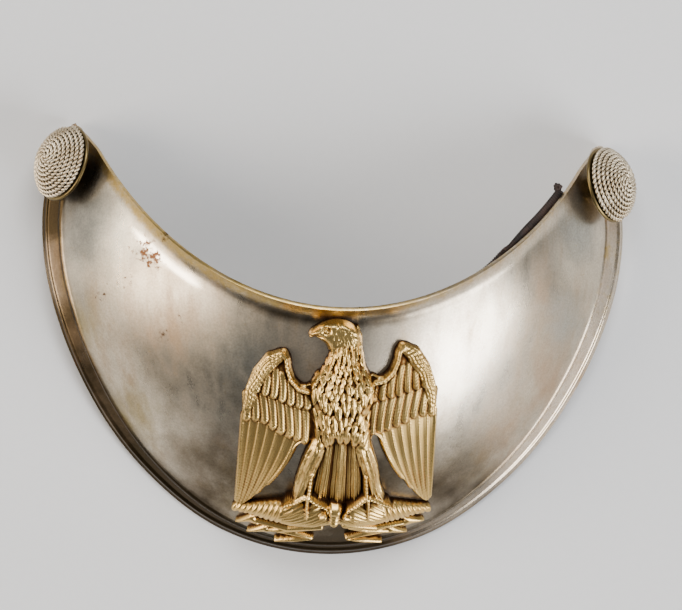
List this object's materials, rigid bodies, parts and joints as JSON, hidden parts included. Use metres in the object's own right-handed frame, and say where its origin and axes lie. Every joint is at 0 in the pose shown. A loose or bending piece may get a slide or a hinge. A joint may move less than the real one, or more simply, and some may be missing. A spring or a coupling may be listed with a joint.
{
  "type": "military gorget",
  "caption": "Domed crescent neck plate with flared ridged border, rolled neck rim, raised eagle badge and cord-covered dome buttons on its horns.",
  "frame": {"origin": "bottom centre of the bounding box, on the surface that the plate rests on, face up", "axes": "+Z out of the plate's face, +Y towards the neck opening and the horns, +X to the viewer's right, seen from the front with the horns up"},
  "size_m": [0.1554, 0.1092, 0.0477],
  "materials": {
    "silvered_brass": "worn silver plating over brass, tarnished warm grey, border worn to brass",
    "gilt_brass": "gilt cast brass with brown patina in the hollows",
    "plain_brass": "dull brass",
    "silver_cord": "twisted silver wire cord, slightly tarnished",
    "dark_leather": "dark brown aged leather, scalloped edge"
  },
  "bodies": {
    "root": {"gorget_plate": "silvered_brass", "eagle_badge": "gilt_brass", "badge_pin_top": "plain_brass", "badge_pin_left": "plain_brass", "badge_pin_right": "plain_brass", "left_button": "plain_brass", "right_button": "plain_brass", "left_button_cord": "silver_cord", "right_button_cord": "silver_cord", "left_button_nut": "plain_brass", "right_button_nut": "plain_brass", "lining_strip": "dark_leather"}
  },
  "joints": []
}
